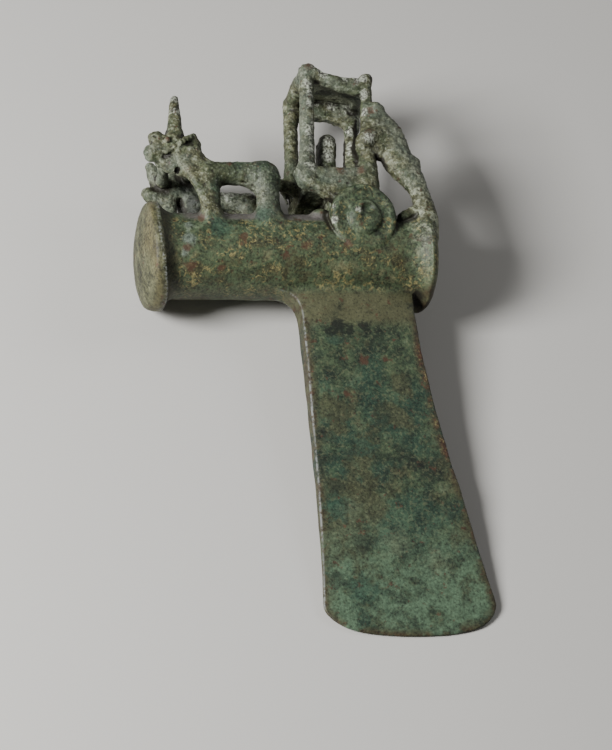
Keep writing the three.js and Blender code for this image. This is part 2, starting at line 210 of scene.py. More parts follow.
def outline_distance(outline, u, v):
    """Signed distance from (u, v) to a closed outline, below zero inside it."""
    best = np.full(np.broadcast(u, v).shape, 1e9, np.float32)
    inside = np.zeros(best.shape, bool)
    for (au, av), (bu, bv) in zip(outline, outline[1:] + outline[:1]):
        eu, ev = bu - au, bv - av
        wu, wv = u - au, v - av
        along = np.clip((wu * eu + wv * ev) / (eu * eu + ev * ev), 0, 1)
        best = np.minimum(best, (wu - eu * along) ** 2 + (wv - ev * along) ** 2)
        if ev != 0:
            inside ^= ((av > v) != (bv > v)) & (wu < eu * wv / ev)
    return np.sqrt(best) * np.where(inside, -1, 1).astype(np.float32)


def plate(outline, z0, z1, rounding=0.8):
    """A flat outline in X and Y, thick from z0 to z1, with rounded edges."""
    corners = np.array(outline, float)
    middle, half = (z0 + z1) / 2, (z1 - z0) / 2

    def distance(x, y, z):
        across = outline_distance(outline, x, y) + rounding
        through = np.abs(z - middle) - half + rounding
        outside = np.sqrt(np.maximum(across, 0) ** 2 + np.maximum(through, 0) ** 2)
        return np.minimum(np.maximum(across, through), 0) + outside - rounding

    return (*corners.min(0), z0), (*corners.max(0), z1), distance


def bend(start, control, end, count=6):
    """Points along a quadratic curve, after its start."""
    shares = np.arange(1, count + 1) / count
    return [tuple((1 - t) ** 2 * np.array(start) + 2 * t * (1 - t) * np.array(control)
                  + t ** 2 * np.array(end)) for t in shares]


# ---- socket

def socket():
    """The tube with its domed end and flared flanges, the shown side of the cap worn down."""
    upper = [(CAP_APEX_X, 0.0)]
    upper += bend(upper[-1], (CAP_APEX_X, FLANGE_RADIUS * 0.62), (CAP_EDGE_X, FLANGE_RADIUS - 1.2))
    upper += bend(upper[-1], (CAP_EDGE_X + 1, FLANGE_RADIUS), (CAP_RIDGE_X, FLANGE_RADIUS), 3)
    upper += bend(upper[-1], (CAP_RIDGE_X + 1, SOCKET_RADIUS + 0.4),
                  (CAP_FLARE_END_X, SOCKET_RADIUS))
    upper += [(MOUTH_FLARE_END_X, SOCKET_RADIUS)]
    upper += bend(upper[-1], (MOUTH_RIDGE_X - 2.5, SOCKET_RADIUS + 0.5),
                  (MOUTH_RIDGE_X, FLANGE_RADIUS))
    upper += bend(upper[-1], (MOUTH_X - 0.6, FLANGE_RADIUS - 0.3), (MOUTH_X, MOUTH_FACE_RADIUS), 3)
    profile = upper + [(x, -r) for x, r in reversed(upper[1:])]

    def distance(x, y, z):
        radius = np.sqrt(y * y + z * z)
        shown = np.clip(z / np.maximum(radius, 1), 0, 1) ** 2 * smoothstep(-36, -40, x)
        flare = np.maximum(radius - SOCKET_RADIUS, 0)
        rise = flare / (FLANGE_RADIUS - SOCKET_RADIUS)
        behind = smoothstep(CAP_EDGE_X - 3, CAP_RIDGE_X - 3, x)
        worn_x = x + CAP_WEAR_SHIFT * shown * rise * behind
        worn_radius = radius + shown * CAP_WEAR_SHRINK * flare
        return outline_distance(profile, worn_x, worn_radius)

    low = (CAP_APEX_X, -FLANGE_RADIUS, -FLANGE_RADIUS)
    return low, (MOUTH_X, FLANGE_RADIUS, FLANGE_RADIUS), distance


def bore():
    def distance(x, y, z):
        radius = np.sqrt(y * y + z * z)
        return np.maximum(radius - BORE_RADIUS, BORE_END_X - x)

    low = (BORE_END_X, -BORE_RADIUS, -BORE_RADIUS)
    return low, (MOUTH_X + 2, BORE_RADIUS, BORE_RADIUS), distance


# ---- blade

def line_at(pairs, y):
    """The value at y of a smooth line through (y, value) pairs that fall in y."""
    line = smooth_line(pairs[::-1], 8)
    return np.interp(y, line[:, 0], line[:, 1])


def edge_y(across):
    centre = BLADE_EDGE_CENTRE
    reach = np.where(across < centre, (centre - across) / centre,
                     (across - centre) / (1 - centre))
    reach = np.clip(reach, 0, 1.05)
    return BLADE_EDGE_Y + (BLADE_CORNER_Y - BLADE_EDGE_Y) * (0.45 * reach ** 2 + 0.55 * reach ** 7)


def blade_plan(x, y):
    """Signed distance to the blade's outline in plan, and the thickness there."""
    left, right = line_at(BLADE_LEFT, y), line_at(BLADE_RIGHT, y)
    across = (x - left) / (right - left)
    edge = edge_y(across)
    plan = smooth_max(np.maximum(left - x, x - right), np.maximum(edge - y, y - BLADE_TOP_Y), 1.5)
    fall = np.clip((BLADE_TOP_Y - y) / (BLADE_TOP_Y - BLADE_EDGE_Y), 0, 1)
    near_edge = np.clip(1 - (y - edge) / 6, 0, 1)
    taper = (1 - fall ** BLADE_TAPER_POWER) * (1 - 0.55 * near_edge ** 2)
    middle = 1 - (1 - np.clip(4 * across * (1 - across), 0, 1)) ** 2
    thickness = BLADE_EDGE_THICKNESS + (BLADE_ROOT_THICKNESS - BLADE_EDGE_THICKNESS) * taper * (
        BLADE_SIDE_SHARE + (1 - BLADE_SIDE_SHARE) * middle)
    return plan, thickness


def blade():
    def distance(x, y, z):
        plan, thickness = blade_plan(x, y)
        return smooth_max(plan, np.abs(z) - thickness / 2, 0.7).astype(np.float32)

    half = BLADE_ROOT_THICKNESS / 2
    return (-12, BLADE_EDGE_Y, -half), (54, BLADE_TOP_Y, half), distance


# ---- chariot

def wheel(side, hub_height):
    """A disc wheel with a dished face and a low worn hub, leaning out at the top."""
    rim, hub = WHEEL_RADIUS, HUB_RADIUS
    upper = [(-6.0, 0.0), (-6.0, rim - 0.8), (-5.2, rim)]
    upper += [(-1.3, rim)] + bend((-1.3, rim), (0.3, rim), (0.2, rim - 1.8), 3)
    upper += bend(upper[-1], (-0.5, (rim + hub) / 2), (0, hub + 1), 5)
    upper += bend(upper[-1], (hub_height, hub + 0.4), (hub_height, hub * 0.62), 4)
    upper += bend(upper[-1], (hub_height, hub * 0.3), (hub_height * 0.55, 0), 4)
    profile = upper + [(h, -r) for h, r in reversed(upper[1:-1])]
    turn = math.radians(WHEEL_SPLAY)

    def distance(x, y, z):
        dy, dz = y - WHEEL_Y, side * z - WHEEL_FACE_Z
        up = dy * math.cos(turn) + dz * math.sin(turn)
        out = dz * math.cos(turn) - dy * math.sin(turn)
        return outline_distance(profile, out, np.sqrt(((x - WHEEL_X) * 1.03) ** 2 + up ** 2))

    reach = sorted([side * 8.0, side * (WHEEL_FACE_Z + 6)])
    low = (WHEEL_X - rim, WHEEL_Y - rim - 1, reach[0])
    return low, (WHEEL_X + rim, WHEEL_Y + rim + 1, reach[1]), distance


def post(base_x, z, stations):
    """A leaning post from (height, radius) stations."""
    return limb([(base_x + CAB_LEAN * (y - FLOOR_TOP_Y), y, z, radius) for y, radius in stations])


def sheared(shape, slope):
    """The shape with Y rising by slope for each millimetre towards -Z."""
    low, high, distance = shape
    spread = abs(slope) * max(abs(low[2]), abs(high[2]))
    low = (low[0], low[1] - spread, low[2])
    return low, (high[0], high[1] + spread, high[2]), lambda x, y, z: distance(x, y + slope * z, z)


def add_cab(field):
    near, far = CAB_HALF_WIDTH, -CAB_HALF_WIDTH
    field.add(post(6.8, near, [(22, 2.7), (34, 2.5), (50, 2.4), (64.4, 2.6)]), 1.2)
    field.add(post(27.4, near, [(19, 3.6), (30, 3), (43, 2.2), (52, 1.9), (61, 1.9)]), 1.2)
    field.add(post(7.4, far, [(32, 2.0), (38, 2.4), (66, 2.5)]), 1.2)
    field.add(post(28.4, far, [(23, 2.2), (42, 1.8), (63, 2.2)]), 1.4)
    # the cross bars
    field.add(limb([(12.4, 63.8, near, 2.8), (12.6, 65.4, 4, 3.0), (12.6, 66, -4, 3.0),
                    (12.8, 66.2, far, 2.7)]), 1.2)
    field.add(limb([(31.8, 61.6, near, 1.9), (32.6, 62.8, 0, 1.8), (34.4, 65, far, 2.2)]), 1.0)
    # the near side's top board, deeper at its right, and the rail along its top
    top = [(12, 65.4), (17.4, 62.6), (23.5, 61.5), (29.6, 61.3), (33, 62.6), (33.2, 59.4),
           (31, 55.8), (28.6, 55.2), (21.9, 57), (16.7, 59.6), (12, 61.6)]
    field.add(plate(top, near - 1.2, near + 1.7, 0.8), 1.0)
    field.add(limb([(12.4, 63.8, near, 2.6), (17.6, 61.6, near, 2.0), (24, 60.1, near, 1.9),
                    (30, 60.1, near, 1.9), (32, 61.6, near, 1.9)]), 1.2)
    # the far side's rail, with a thin web behind and below it
    field.add(limb([(12.8, 66.6, far + 1, 2.7), (21, 67, far + 1.6, 2.7),
                    (35.4, 65.2, far + 1.6, 2.5)]), 0.5)
    field.add(plate([(11.4, 60.4), (24, 60), (31, 57.4), (35, 56), (36.4, 65), (12.4, 66.6)],
                    far - 1, far + 2.4, 0.8), 2.0)
    # the roof, rising towards the far side
    field.add(sheared(plate([(13, 63.8), (22, 63.2), (33.6, 61.6), (33.8, 62.8), (22, 64.6),
                             (13, 65.4)], far, near - 0.6, 0.6), 0.3), 0.5)
    # floor, its side boards and the block that joins it to the socket
    field.add(plate([(6.4, 21), (6.2, FLOOR_TOP_Y), (28.6, FLOOR_TOP_Y), (28.4, 21)], far, near), 1)
    board = [(2.4, 25.6), (3.6, 21.6), (7.8, 18.8), (12.4, 15.9), (16, 13), (29.6, 13),
             (30, 27), (24, 26.6), (10, 26.8), (5.2, 29)]
    far_board = [(min(max(x, 7), 28), y) for x, y in board]
    field.add(plate(board, near - 2.6, near + 2.2, 1.2), 1.6)
    field.add(plate(far_board, far - 1.6, far + 2.6, 1.2), 1.6)
    field.add(plate([(14, 10), (15.4, 22), (29, 22), (30, 10)], -9, 9), 1.5)
    # the broken foot of the far post at the front, with its ragged end
    field.add(lump((7.2, 33.4, far), (2.7, 4, 2.3)), 0.8)
    for x, y, drift, thick in ((9.2, 31, 1.4, 0.9), (7.4, 30.4, 0.3, 0.8), (5.2, 31.6, 0.7, 0.5)):
        field.add(limb([(x, y, far + 0.4, thick), (x + drift, y - 4.6, far + 1, thick * 0.7)]), 0.4)
    # the worn lump between the wheel and the socket
    field.add(lump((10.2, 10.2, 9.2), (3.6, 2.6, 2.6)), 1.2)


def add_riders(field):
    """Two small worn riders, one in a broad hood and one in a pointed cap, faces nearly worn away."""
    z = RIDER_Z
    field.add(limb([(14.9, FLOOR_TOP_Y - 1, z, 3.1), (15.3, 32, z, 3.3), (16.1, 36.6, z, 3.4),
                    (16.7, 39.5, z, 3.0)]), 0.8)
    field.add(limb([(24.4, FLOOR_TOP_Y - 1, z, 3.6), (24.7, 31.6, z, 3.3), (25.1, 37.6, z, 2.9),
                    (25.5, 41.6, z, 2.4)]), 0.8)
    field.add(limb([(25.6, 43.8, z, 2.4), (26.3, 46, z, 1.7), (27.7, 48.5, z, 0.6)]), 0.5)
    field.cut(limb([(14.2, 32.4, z + 3.2, 0.6), (15.4, 31, z + 3.6, 0.6)]), 0.4)
    field.cut(limb([(16.8, 33, z + 3.5, 0.5), (17.6, 31.2, z + 3.3, 0.6)]), 0.4)
    for face_x, face_y, scale in ((13, 38.3, 1.0), (23.6, 41.2, 0.75)):
        field.add(lump((face_x, face_y - 0.3, z), (0.6 * scale, 0.9 * scale, 0.45 * scale)), 0.4)
        for side in (-1, 1):
            field.cut(lump((face_x + 0.1, face_y + 0.6 * scale, z + side * 1.1 * scale),
                           (0.5, 0.4 * scale, 0.5 * scale)), 0.3)


def add_rearing_animal(field):
    """The animal that stands behind the cab: head on the post, hind leg on the mouth's flange."""
    field.add(limb([(34.6, 47.8, 11.8, 2.9), (35.8, 44.4, 11.8, 3.6), (37.4, 40.4, 11.8, 4.5),
                    (37.6, 35.6, 12, 5.2), (38.4, 31, 12, 5.3), (40.6, 26.4, 12.2, 4.9),
                    (42.6, 22, 12.6, 4.0), (43.7, 18.2, 12.9, 3.3), (44.3, 13, 13.4, 3.4),
                    (45, 7, 14, 3.4), (44.6, 0, 14.6, 2.7)], depth=0.78), 1.4)
    field.add(lump((33.6, 49.2, 12.2), (3.0, 3.2, 3.1)), 0.9)
    field.add(lump((32.4, 44.8, 12.2), (3.2, 3.4, 3)), 1.0)
    field.add(limb([(36.6, 41, 12.6, 2.7), (32, 38.6, 13.2, 3.3), (28, 37, 13.8, 3.2),
                    (27, 34.4, 13.2, 2.8)]), 1.0)
    field.add(lump((32.6, 35, 12), (3.6, 4.4, 3.2)), 1.0)
    field.add(lump((43, 28.6, 12), (3.2, 3.3, 3.3)), 1.0)
    field.add(limb([(40.6, 10.6, 12.6, 1.8), (36.6, 8.6, 12.4, 1.4)]), 1.2)
    field.cut(limb([(29.6, 40.4, 16.6, 0.4), (32.4, 41.2, 16.4, 0.5), (34, 39.6, 16.4, 0.4)]), 0.5)
    field.cut(limb([(34.2, 39.4, 16.3, 0.4), (34.4, 35, 16.2, 0.5), (33.8, 32, 15.6, 0.4)]), 0.6)
    field.cut(limb([(37.6, 37, 16.8, 0.7), (39.4, 33, 17, 0.9), (41.6, 30, 16.6, 0.6)]), 0.9)


# ---- bulls

NEAR_BULL = {
    "body": [(-26, 24.2, 11.4, 4.0), (-17, 24.4, 11.6, 3.8), (-8.6, 23.8, 11.6, 4.7)],
    "hind_leg": [(-7.7, 22.4, 11.6, 4.8), (-7.6, 15, 11.4, 3.8), (-8, 7.5, 11, 4.4)],
    "fore_leg": [(-28, 22.6, 11.8, 4.6), (-27.4, 18, 12, 3.9), (-27.1, 13.6, 11.8, 3.4),
                 (-26.8, 7.6, 11.2, 3.3)],
    "neck": [(-28.8, 25.6, 11.6, 3.9), (-32, 30, 11.4, 4.6), (-36.4, 31.8, 11.2, 4.7)],
    "chest": [(-29, 25.6, 11.6, 3.9), (-33.4, 26.4, 11.4, 3.5), (-38.6, 28, 10.8, 3.0)],
    "throat": [(-42, 29.6, 10.6, 1.8), (-40.2, 28, 7, 1.7), (-38.8, 29.4, 0, 1.7),
               (-36.8, 32.6, -8, 2.0)],
    "head": [(-36.4, 34.6, 11.6, 4.1), (-40.4, 33.4, 11.6, 3.6), (-44.5, 31.5, 11.6, 2.8)],
    "brow": [(-42.4, 37, 11.6), (2.8, 2.9, 2.7)],
    "eye": [(-39.7, 34.8, 14.9), (1.2, 1.2, 1.0)],
    "horn": [(-36.2, 38, 11.6, 3.2), (-35.7, 42.6, 11.6, 2.4), (-35.2, 48, 11.6, 1.85),
             (-34.7, 52.3, 11.6, 1.3)],
    "crest": [(-31, 31.6, 11.6, 2.9), (-30.6, 35, 11.6, 2.6)],
    "collar": [(-40.6, 30.4, 14.4, 0.9), (-37, 32.6, 15.2, 1.0), (-33.6, 34.8, 15.2, 1.1),
               (-30.4, 36.8, 13.6, 1.2)],
    "strut": [(-33.6, 25.4, 13.2, 1.9), (-31.4, 19, 13.8, 1.4), (-29.8, 13.6, 13.8, 1.1),
              (-28.9, 8.6, 13.2, 1.3)],
}

FAR_BULL = {
    "body": [(-25, 27.2, -11.6, 3.6), (-16, 27.6, -11.6, 3.1), (-7.6, 26, -11.6, 4.2)],
    "hind_leg": [(-6.6, 24, -11.6, 4.0), (-6.8, 15, -11.4, 3.4), (-7.2, 7.5, -11, 3.8)],
    "fore_leg": [(-25.4, 25, -11.6, 3.9), (-25.4, 16, -11.4, 2.8), (-25.6, 8, -11, 3.2)],
    "neck": [(-25, 28, -11.6, 4.2), (-30, 32, -11.4, 4.0), (-33.4, 33.6, -11.2, 3.6)],
    "chest": [(-33, 30, -11.4, 3), (-34.8, 26, -11, 2.6), (-34.6, 18, -10.4, 2.5), (-33.8, 9, -9.6, 2.9)],
    "throat": [(-41, 28.8, -11.4, 1.6), (-39, 28, -11.2, 1.6), (-36.6, 27, -11, 1.8)],
    "head": [(-33.2, 32.6, -11.6, 3.2), (-36, 30.4, -11.6, 2.6), (-40.9, 30.1, -11.6, 2.4)],
    "brow": [(-33.6, 36.6, -11.6), (2.2, 2.4, 2.4)],
    "eye": [(-34.6, 34.4, -14.6), (1.2, 1.2, 0.9)],
    "horn": [(-37.2, 32.8, -11.6, 2.3), (-38.2, 36.6, -11.5, 2.3), (-39.3, 40.2, -11.4, 1.7)],
    "crest": [(-32, 35.4, -11.2, 2.3), (-29, 34.8, -11.4, 2.6), (-26.6, 35.2, -11.6, 2.4)],
    "collar": [(-36.6, 31.2, -14.2, 0.9), (-34, 32.8, -15, 1.0), (-30.8, 34.6, -15, 1.1),
               (-27.6, 36, -13.6, 1.2)],
    "strut": [(-30, 26, -13.2, 1.6), (-28, 18, -13.2, 1.3), (-27.2, 10.4, -12.8, 1.4)],
}


def add_bull(field, shape):
    side = math.copysign(1, shape["body"][0][2])
    field.add(limb(shape["body"], depth=1.05), 1.8)
    field.add(limb(shape["hind_leg"], depth=0.85), 3.4)
    field.add(limb(shape["fore_leg"], depth=0.9), 3.2)
    field.add(limb(shape["strut"]), 1.8)
    field.add(limb(shape["neck"], depth=0.8), 1.4)
    field.add(limb(shape["chest"], depth=0.9), 1.4)
    field.add(limb(shape["throat"]), 0.8)
    field.add(limb(shape["head"], depth=0.85), 1.2)
    field.add(lump(*shape["brow"]), 1.5)
    field.add(limb(shape["horn"]), 1.0)
    field.add(limb(shape["crest"], depth=1.1), 1.2)
    # a groove along the upper edge of the collar
    field.cut(limb([(x - 0.8, y + 1.7, z + side * 0.8, 0.6) for x, y, z, _ in shape["collar"]]), 0.7)
    field.add(limb(shape["collar"]), 0.6)
    field.add(lump(*shape["eye"]), 0.3)


def add_harness(field):
    """The pole from the cab's floor between the bulls, and the yoke across their necks."""
    field.add(limb([(9, 24, -1, 2.4), (2.4, 28, -1.4, 2.1), (-12, 30.6, -1.4, 1.8),
                    (-28, 33.6, -0.6, 1.8)]), 1.2)
    field.add(limb([(-30.4, 34.4, BULL_Z, 2), (-29.4, 34, 0, 2),
                    (-27.2, 34.8, -BULL_Z, 2)]), 1.2)


def casting():
    """The whole casting as one field."""
    field = Field(FIELD_LOW, FIELD_HIGH, STEP)
    field.add(socket())
    field.add(blade(), 1.6)
    field.add(wheel(1, NEAR_HUB_HEIGHT), 0.7)
    field.add(wheel(-1, FAR_HUB_HEIGHT), 0.7)
    field.cut(lump((WHEEL_X + 1.2, WHEEL_Y + 2.2, WHEEL_FACE_Z + 2.4), (2.3, 1.9, 1.7)), 0.9)
    field.add(lump((WHEEL_X - 2.6, WHEEL_Y + 1.2, WHEEL_FACE_Z + 1), (1.6, 2.6, 1.1)), 0.8)
    add_cab(field)
    add_riders(field)
    add_rearing_animal(field)
    add_bull(field, NEAR_BULL)
    add_bull(field, FAR_BULL)
    add_harness(field)
    field.cut(limb([(-37, 24.8, 16, 0.8), (-36.7, 25.2, 9.6, 0.7)]), 0.4)
    field.cut(bore(), 0.5)
    return field


# ---- from field to mesh

def skin(field):
    """The surface where the field is zero: points in millimetres and four-sided faces."""
    values = field.values
    solid = values < 0
    nx, ny, nz = (n - 1 for n in solid.shape)
    filled = np.zeros((nx, ny, nz), np.uint8)
    for i, j, k in itertools.product((0, 1), repeat=3):
        filled += solid[i:nx + i, j:ny + j, k:nz + k]
    mixed = (filled > 0) & (filled < 8)
    cells = np.argwhere(mixed)
    number = np.full(mixed.shape, -1, np.int32)
    number[mixed] = np.arange(len(cells))

    total = np.zeros((len(cells), 3))
    crossings = np.zeros(len(cells))
    for axis in range(3):
        others = [i for i in range(3) if i != axis]
        for sides in itertools.product((0, 1), repeat=2):
            start = cells.copy()
            start[:, others] += sides
            end = start.copy()
            end[:, axis] += 1
            a, b = values[tuple(start.T)], values[tuple(end.T)]
            crosses = (a < 0) != (b < 0)
            point = start[crosses].astype(float)
            point[:, axis] += a[crosses] / (a[crosses] - b[crosses])
            total[crosses] += point
            crossings[crosses] += 1
    points = field.low + field.step * total / crossings[:, None]

    faces = []
    for axis in range(3):
        u, v = np.eye(3, dtype=int)[(axis + 1) % 3], np.eye(3, dtype=int)[(axis + 2) % 3]
        along = np.eye(3, dtype=int)[axis]
        inner = [slice(1, -1)] * 3
        inner[axis] = slice(0, -1)
        outer = [slice(1, -1)] * 3
        outer[axis] = slice(1, None)
        leaving = solid[tuple(inner)]
        spots = np.argwhere(leaving != solid[tuple(outer)]) + (1 - along)
        quads = np.stack([number[tuple((spots - step).T)] for step in (0 * u, u, u + v, v)], 1)
        outward = solid[tuple(spots.T)]
        faces.append(np.where(outward[:, None], quads, quads[:, ::-1]))
    return points, np.vstack(faces)


def noise(points, size, seed):
    """Smooth noise, about -1 to 1, with lumps about size millimetres across."""
    random = np.random.default_rng(seed)
    table = random.permutation(256)
    slopes = random.normal(size=(256, 3))
    slopes /= np.linalg.norm(slopes, axis=1)[:, None]
    spot = points / size
    cell = np.floor(spot).astype(int)
    share = spot - cell
    fade = share ** 3 * (share * (share * 6 - 15) + 10)
    total = np.zeros(len(points))
    for corner in itertools.product((0, 1), repeat=3):
        x, y, z = ((cell + corner) & 255).T
        slope = slopes[table[(table[(table[x] + y) & 255] + z) & 255]]
        weight = np.prod(np.where(corner, fade, 1 - fade), axis=1)
        total += weight * np.einsum("ij,ij->i", slope, share - corner)
    return total * 1.6


def normals_of(points, faces):
    """Outward normals at the points."""
    corners = points[faces]
    cross = np.cross(corners[:, 2] - corners[:, 0], corners[:, 3] - corners[:, 1])
    normals = np.zeros_like(points)
    for i in range(4):
        np.add.at(normals, faces[:, i], cross)
    return normals / np.maximum(np.linalg.norm(normals, axis=1), 1e-9)[:, None]


def group_share(points):
    """How much a point belongs to the figures on the socket's back: 0 no, 1 yes."""
    x, y, z = points.T
    radius = np.hypot(y, z)
    over = np.maximum(smoothstep(15, 17.5, radius) * smoothstep(2, 9, y), smoothstep(16, 21, y))
    wheel = smoothstep(WHEEL_RADIUS + 1.6, WHEEL_RADIUS + 0.4, np.hypot(x - WHEEL_X, y - WHEEL_Y))
    cap = smoothstep(CAP_FLARE_END_X, CAP_RIDGE_X, x) * smoothstep(21, 19, radius)
    return over * (1 - wheel * smoothstep(11, 12.5, np.abs(z))) * (1 - cap)


def roughened(points, faces):
    """The skin with the swells, lumps and pits of a worn, corroded casting."""
    normals = normals_of(points, faces)
    group = group_share(points)
    in_bore = (np.hypot(points[:, 1], points[:, 2]) < BORE_RADIUS + 0.6) & (points[:, 0] > BORE_END_X)
    on_blade = smoothstep(-13, -17, points[:, 1])
    thin = smoothstep(-100, -130, points[:, 1])
    swell = 0.2 * noise(points, 9, 1) * (1 - 0.6 * thin)
    lumps = 0.16 * noise(points, 2.6, 2) + 0.19 * noise(points, 1.3, 3)
    grain = 0.06 * noise(points, 1.3, 4) * (1 - on_blade) + 0.05 * noise(points, 4, 6)
    pits = -0.3 * smoothstep(0.34, 0.7, noise(points, 1.5, 5))
    necks = smoothstep(7, 3.5, np.hypot(np.hypot(points[:, 0] + 34, points[:, 1] - 31),
                                        np.abs(points[:, 2]) - 15))
    lumps += 0.5 * necks * (0.25 - np.abs(noise(points * [1.4, 0.8, 1], 1.7, 7)))
    heads = smoothstep(9, 6, np.hypot(points[:, 0] + 42, points[:, 1] - 34))
    lumps += heads * (0.3 * noise(points, 2.2, 8) + 0.2 * noise(points, 3.6, 9))
    change = swell + group * (lumps + pits) + (1 - group) * (1 - 0.8 * on_blade) * (
        grain + 0.3 * pits)
    change[in_bore] *= 0.3
    return points + normals * change[:, None]


# ---- lying down: the flanges and the cutting edge on the floor

box_low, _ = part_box("axe_head")
ROLL = math.atan2(FLANGE_RADIUS - BLADE_EDGE_THICKNESS / 2, -BLADE_EDGE_Y)
edge_reach = BLADE_EDGE_Y * math.cos(ROLL) - BLADE_EDGE_THICKNESS / 2 * math.sin(ROLL)
LYING = Matrix.Translation((box_low.x - CAP_APEX_X * MM, box_low.y - edge_reach * MM,
                            box_low.z + FLANGE_RADIUS * MM)) @ Matrix.Rotation(ROLL, 4, "X")
LYING = LYING @ Matrix.Scale(MM, 4)


def laid(points):
    turn = np.array(LYING)
    return points @ turn[:3, :3].T + turn[:3, 3]


def drawn(points):
    """Laid points back in the frame that the casting was drawn in."""
    turn = np.array(LYING.inverted())
    return points @ turn[:3, :3].T + turn[:3, 3]


MOST_TRIANGLES = 190000


def make_mesh(name, points, faces):
    mesh = bpy.data.meshes.new(name)
    mesh.vertices.add(len(points))
    mesh.vertices.foreach_set("co", points.astype(np.float32).ravel())
    mesh.loops.add(faces.size)
    mesh.loops.foreach_set("vertex_index", faces.astype(np.int32).ravel())
    mesh.polygons.add(len(faces))
    mesh.polygons.foreach_set("loop_start", np.arange(0, faces.size, faces.shape[1], dtype=np.int32))
    mesh.update(calc_edges=True)
    mesh.validate()
    piece = bpy.data.objects.new(name, mesh)
    bpy.context.scene.collection.objects.link(piece)
    return piece


def keep_largest(piece):
    """Drops every loose shell but the largest, such as the inside of a shut pocket."""
    bpy.ops.object.select_all(action="DESELECT")
    bpy.context.view_layer.objects.active = piece
    piece.select_set(True)
    bpy.ops.mesh.separate(type="LOOSE")
    shells = list(bpy.context.selected_objects)
    largest = max(shells, key=lambda shell: len(shell.data.vertices))
    name = piece.name
    for shell in shells:
        if shell is not largest:
            bpy.data.objects.remove(shell)
    largest.name = name
    return largest


def thin_out(piece, most):
    triangles = sum(len(p.vertices) - 2 for p in piece.data.polygons)
    fewer = piece.modifiers.new("fewer", "DECIMATE")
    fewer.ratio = min(1.0, most / triangles)
    bpy.context.view_layer.objects.active = piece
    bpy.ops.object.modifier_apply(modifier=fewer.name)


def points_of(mesh):
    flat = np.zeros(len(mesh.vertices) * 3, np.float32)
    mesh.vertices.foreach_get("co", flat)
    return flat.reshape(-1, 3).astype(float)


def vertex_normals_of(mesh):
    flat = np.zeros(len(mesh.vertices) * 3, np.float32)
    mesh.vertex_normals.foreach_get("vector", flat)
    return flat.reshape(-1, 3).astype(float)


# ---- where each patina, painted shadow and painted highlight lies, as shares from 0 to 1 on the mesh's points

# Places where a colour gathers, as x, y, z and reach.
PATCHES = {
    # The first six spots are a black stain on the blade; the rest are painted shadow: the far side of the
    # cab, its web and roof underside, the recess under the floor board, the far bull's chest and foreleg,
    # and the lower lobe of the mouth's flange
    "black_stain_and_painted_shadow": [(9, -29.2, 4, 3.6), (12.6, -27.6, 4, 3.8), (16, -28.6, 4, 3.4), (20.4, -27, 4, 2.6),
             (23, -29, 4, 2.4), (26, -29.4, 4, 1.8), (30, 20, -14, 8), (20, 61, -12, 3),
             (26, 61, -12, 3), (32, 61, -12, 3), (21, 63.4, 2, 5), (29, 62.2, 2, 5),
             (-29, 21, -8, 5.5), (-30, 16, -8, 5), (6, 18, 4, 6),
             (-25.4, 21, -8.5, 6), (-25.4, 14, -8.5, 6), (-26.4, 26, -8, 5), (-29, 30, -8, 4),
             (44.6, -13, 6, 3.4)],
    "deep": [(4, -83, 2.5, 5), (10.5, -103, 2, 5), (1, -115, 1.5, 4), (10, -73, 2.5, 4),
             (23, -59, 3, 5)],
    "pale": [(9, -92, 2.5, 5), (21.5, -103, 2, 6), (34, -110, 1.5, 6)],
    "spot": [(19.3, -39.9, 4, 2.6), (27, -39.5, 4, 1.9), (13, -52, 4, 2.2), (38.6, -37, 2, 2.4)],
    "rust": [(-39.7, 34.8, 16, 1.6), (21, 3, 17.6, 1.8),
             (-20, 26, 15, 2.4), (-6, 25, 15, 3), (-3.6, 12, 14.6, 2),
             (12, 65, 14, 3), (28.4, 39.4, 16.6, 3), (31, 48, 14, 3),
             (-18, -1, 14, 3.4), (-31, 7, 12, 3), (2, -3, 14, 3.6), (-5, -6, 12, 3.4),
             (-26, -9, 10, 3), (15.6, -3, 14, 3.6), (18, 25, 14.4, 3.4), (25, 25, 14.4, 3),
             (-36, -10, 10, 4), (-37, -4, 13, 3), (-3.4, 18, 15, 2.4)],
    # Pale crust on the riders, the rearing animal and the near horn, with painted light on the hood as
    # well; painted light on the far bull's body and the far rail; painted highlights on the near wheel's
    # left rim and hub and along the cab's near posts and top board
    "chalk_and_painted_light": [(28.6, 36, 16.6, 3.6), (43.6, 1.6, 14, 3.4), (16, 39, 9.6, 5), (15.6, 33, 10, 4),
              (25, 43, 9, 4), (24.6, 36.6, 9.6, 4), (-35.4, 47, 13, 2.6), (-35, 51.6, 12, 2.6),
              (-15, 28.4, -9, 3.4), (-7, 28, -9, 3), (20, 66.4, -8.6, 4), (26, 66, -8.6, 4),
              (32, 65.2, -8.6, 4), (7.6, 26, 13.6, 3), (30, 55, 13.4, 3), (29, 48, 13.6, 2.4),
              (13, 65, 14, 2.4), (9, 38, 14.2, 2.6), (11, 54, 14.2, 2.6), (28, 61, 13.8, 2.2),
              (12.4, 5, 15.4, 2.3),
              (12.8, 10, 16, 2), (19.6, 7.4, 18, 1.8), (10.6, 50, 14, 2.4), (11.2, 58, 14, 2.4),
              (30.4, 61, 14, 2.4), (10.4, 42, 14, 3),
              (9.2, 33, 14, 3), (17, 62.4, 14, 2.6), (24, 61, 14, 2.6)],
    "moss": [(-18, 27.4, 14, 6), (-10, 26, 15, 6), (-5.4, 20, 15, 5), (-5, 12, 14.6, 4),
             (-24.6, 19, 14.6, 3.6), (-24.8, 13, 14.6, 3), (20, 12, 17, 3), (25, 2, 16, 3)],
    "jade": [(11, -33, 4, 4), (15, -70.6, 3.5, 6), (4, -91, 3, 7), (8, -118, 2, 8),
             (-17, 27, 13, 5), (-9, 25, 14, 5), (-25.4, 17, 14.6, 3.4), (-10, 8, 13, 5),
             (-26, 3, 14, 6)],
    "slate": [(-36.4, -1.5, 13.6, 3.2), (-35.6, 4, 13.4, 2.2), (-38, -6, 13, 2)],
}


